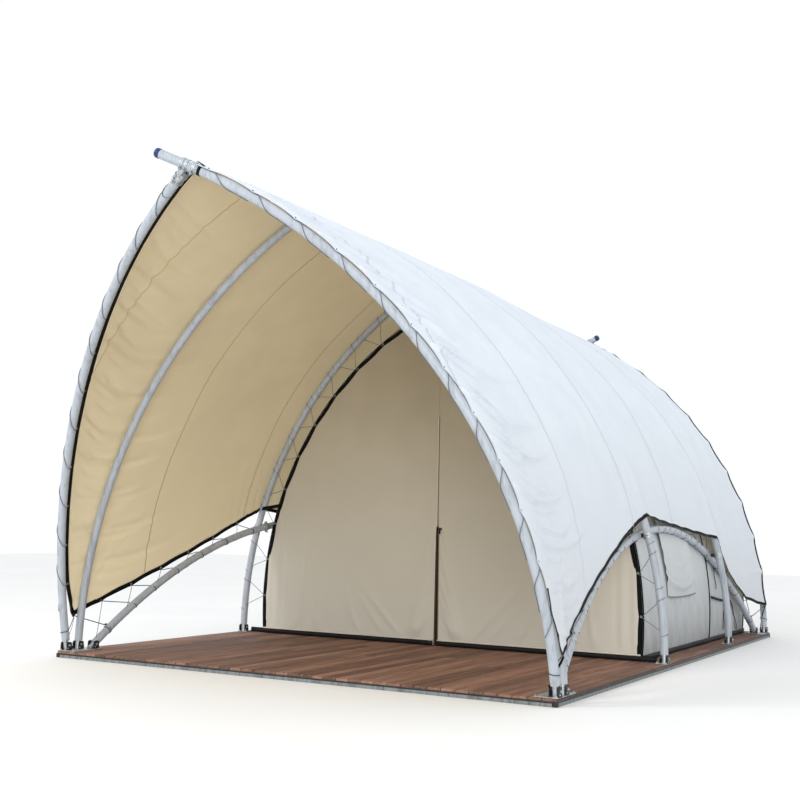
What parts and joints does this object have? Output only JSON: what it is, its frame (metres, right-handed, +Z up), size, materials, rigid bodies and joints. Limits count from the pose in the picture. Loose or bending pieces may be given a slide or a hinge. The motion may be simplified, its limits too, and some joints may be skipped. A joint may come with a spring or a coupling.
{
  "type": "sail glamping tent",
  "caption": "Arched glamping tent on a deck: leaning bent-tube arches carry a pointed white canopy over an open porch and a canvas inner room.",
  "frame": {"origin": "centre of the deck's underside, on the level ground", "axes": "+X to the right as seen from the open front, -Y towards the open front, +Z up"},
  "size_m": [6.0092, 10.7674, 4.9943],
  "materials": {
    "canopy_canvas": "matt coated canvas, white outside and cream inside",
    "wall_canvas": "matt grey-beige canvas",
    "groundsheet": "black coated cloth",
    "deck_boards": "brown stained boards",
    "deck_frame": "grey painted",
    "arch_tubes": "white paint, satin",
    "fittings": "galvanised",
    "end_cap": "dark blue moulded"
  },
  "bodies": {
    "root": {"annex_skin_left": "wall_canvas", "annex_skin_right": "wall_canvas", "canopy_porch_left": "canopy_canvas", "canopy_porch_right": "canopy_canvas", "canopy_rear_left": "canopy_canvas", "canopy_rear_right": "canopy_canvas", "canopy_room_left": "canopy_canvas", "canopy_room_right": "canopy_canvas", "deck_boards": "deck_boards", "deck_frame": "deck_frame", "front_arch_apex_fitting": "fittings", "front_arch_cap": "end_cap", "front_arch_left": "arch_tubes", "front_arch_right": "arch_tubes", "front_foot_left": "fittings", "front_foot_right": "fittings", "front_wall_left": "wall_canvas", "front_wall_right": "wall_canvas", "groundsheet": "groundsheet", "low_arch_left": "arch_tubes", "low_arch_right": "arch_tubes", "middle_arch_apex_fitting": "fittings", "middle_arch_clamp_left": "fittings", "middle_arch_clamp_right": "fittings", "middle_arch_left": "arch_tubes", "middle_arch_right": "arch_tubes", "middle_foot_left": "fittings", "middle_foot_right": "fittings", "rear_arch_apex_fitting": "fittings", "rear_arch_cap": "end_cap", "rear_arch_left": "arch_tubes", "rear_arch_right": "arch_tubes", "rear_foot_left": "fittings", "rear_foot_right": "fittings", "rear_post_arch_apex_fitting": "fittings", "rear_post_arch_clamp_left": "fittings", "rear_post_arch_clamp_right": "fittings", "rear_post_arch_left": "arch_tubes", "rear_post_arch_right": "arch_tubes", "rear_post_foot_left": "fittings", "rear_post_foot_right": "fittings", "rear_wall": "wall_canvas", "room_skin_left": "wall_canvas", "room_skin_right": "wall_canvas", "second_rib_apex_fitting": "fittings", "second_rib_left": "arch_tubes", "second_rib_right": "arch_tubes", "window_flap_left": "wall_canvas", "window_flap_right": "wall_canvas"}
  },
  "joints": []
}
